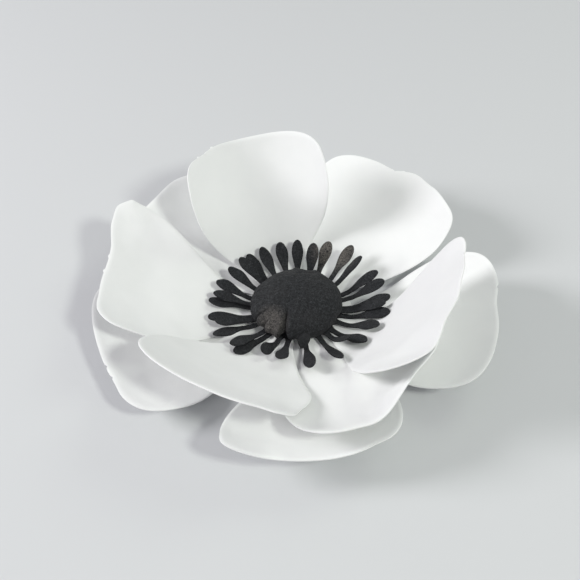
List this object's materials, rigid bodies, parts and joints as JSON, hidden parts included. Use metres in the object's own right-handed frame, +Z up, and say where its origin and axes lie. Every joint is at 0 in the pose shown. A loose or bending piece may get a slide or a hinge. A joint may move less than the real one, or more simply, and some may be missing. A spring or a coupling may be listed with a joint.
{
  "type": "paper flower",
  "caption": "Handmade paper anemone with two layers of cupped white card petals, a fringed ring of black paper stamens and a domed black centre.",
  "frame": {"origin": "centre of the base disc's underside, on the flower's axis", "axes": "+Z up out of the flower's face, -Y towards the viewer, +X to the viewer's right"},
  "size_m": [0.099, 0.0966, 0.0293],
  "materials": {
    "white_card": "matt uncoated white card",
    "black_card": "matt fibrous black paper"
  },
  "bodies": {
    "root": {"base_disc": "white_card", "outer_petal_right": "white_card", "outer_petal_back_right": "white_card", "outer_petal_back_left": "white_card", "outer_petal_left": "white_card", "outer_petal_front": "white_card", "inner_petal_back": "white_card", "inner_petal_left": "white_card", "inner_petal_front_left": "white_card", "inner_petal_front_right": "white_card", "inner_petal_right": "white_card", "stamen_ring_lower": "black_card", "stamen_ring_upper": "black_card", "centre_dome": "black_card"}
  },
  "joints": []
}
